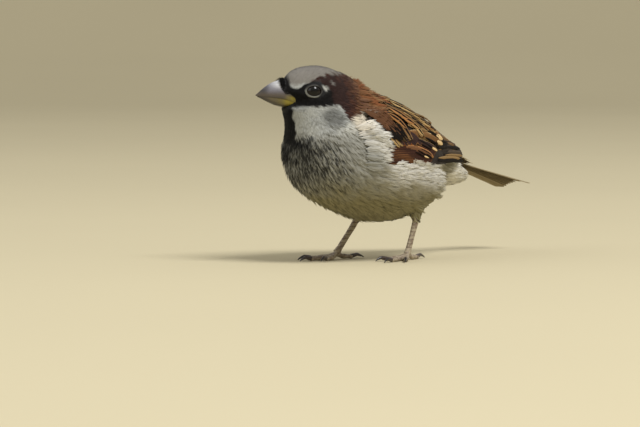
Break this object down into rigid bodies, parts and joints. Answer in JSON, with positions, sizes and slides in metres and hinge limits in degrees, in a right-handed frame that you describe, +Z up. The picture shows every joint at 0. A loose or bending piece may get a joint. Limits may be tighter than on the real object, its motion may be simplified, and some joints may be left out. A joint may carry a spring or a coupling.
{
  "type": "house sparrow",
  "caption": "Still life-size cock house sparrow standing on both feet, body level and plump, head turned to its right, wings folded and tail held low behind.",
  "frame": {"origin": "middle of the whole bird's footprint box, on the floor under its feet", "axes": "+Z up, -Y the way the body faces, +X the bird's own left side; the tail points along +Y"},
  "size_m": [0.0476, 0.1308, 0.0729],
  "materials": {
    "eye": "wet, glossy, nearly black",
    "bill": "smooth satin horn, blue-grey, paler on the ridge and yellow at the corner of the mouth",
    "head_plumage": "short soft feathers: grey crown, dark chestnut sides, black mask and bib, pale grey cheeks",
    "body_plumage": "soft matt feathers, pale grey, with a chestnut-buff back streaked black",
    "wing_plumage": "firm overlapping feathers with dark centres and chestnut and buff edges",
    "tail_plumage": "firm feathers, dusky brown with thin paler edges",
    "leg_skin": "dry scaly skin, brownish pink",
    "claw": "dark horn"
  },
  "bodies": {
    "root": {"bill_lower": "bill", "bill_upper": "bill", "claw_hind_left": "claw", "claw_hind_right": "claw", "claw_inner_left": "claw", "claw_inner_right": "claw", "claw_middle_left": "claw", "claw_middle_right": "claw", "claw_outer_left": "claw", "claw_outer_right": "claw", "eye_left": "eye", "eye_right": "eye", "head": "head_plumage", "neck": "head_plumage", "tail": "tail_plumage", "tarsus_left": "leg_skin", "tarsus_right": "leg_skin", "thigh_left": "body_plumage", "thigh_right": "body_plumage", "toe_hind_left": "leg_skin", "toe_hind_right": "leg_skin", "toe_inner_left": "leg_skin", "toe_inner_right": "leg_skin", "toe_middle_left": "leg_skin", "toe_middle_right": "leg_skin", "toe_outer_left": "leg_skin", "toe_outer_right": "leg_skin", "trunk": "body_plumage", "wing_left": "wing_plumage", "wing_right": "wing_plumage"}
  },
  "joints": []
}
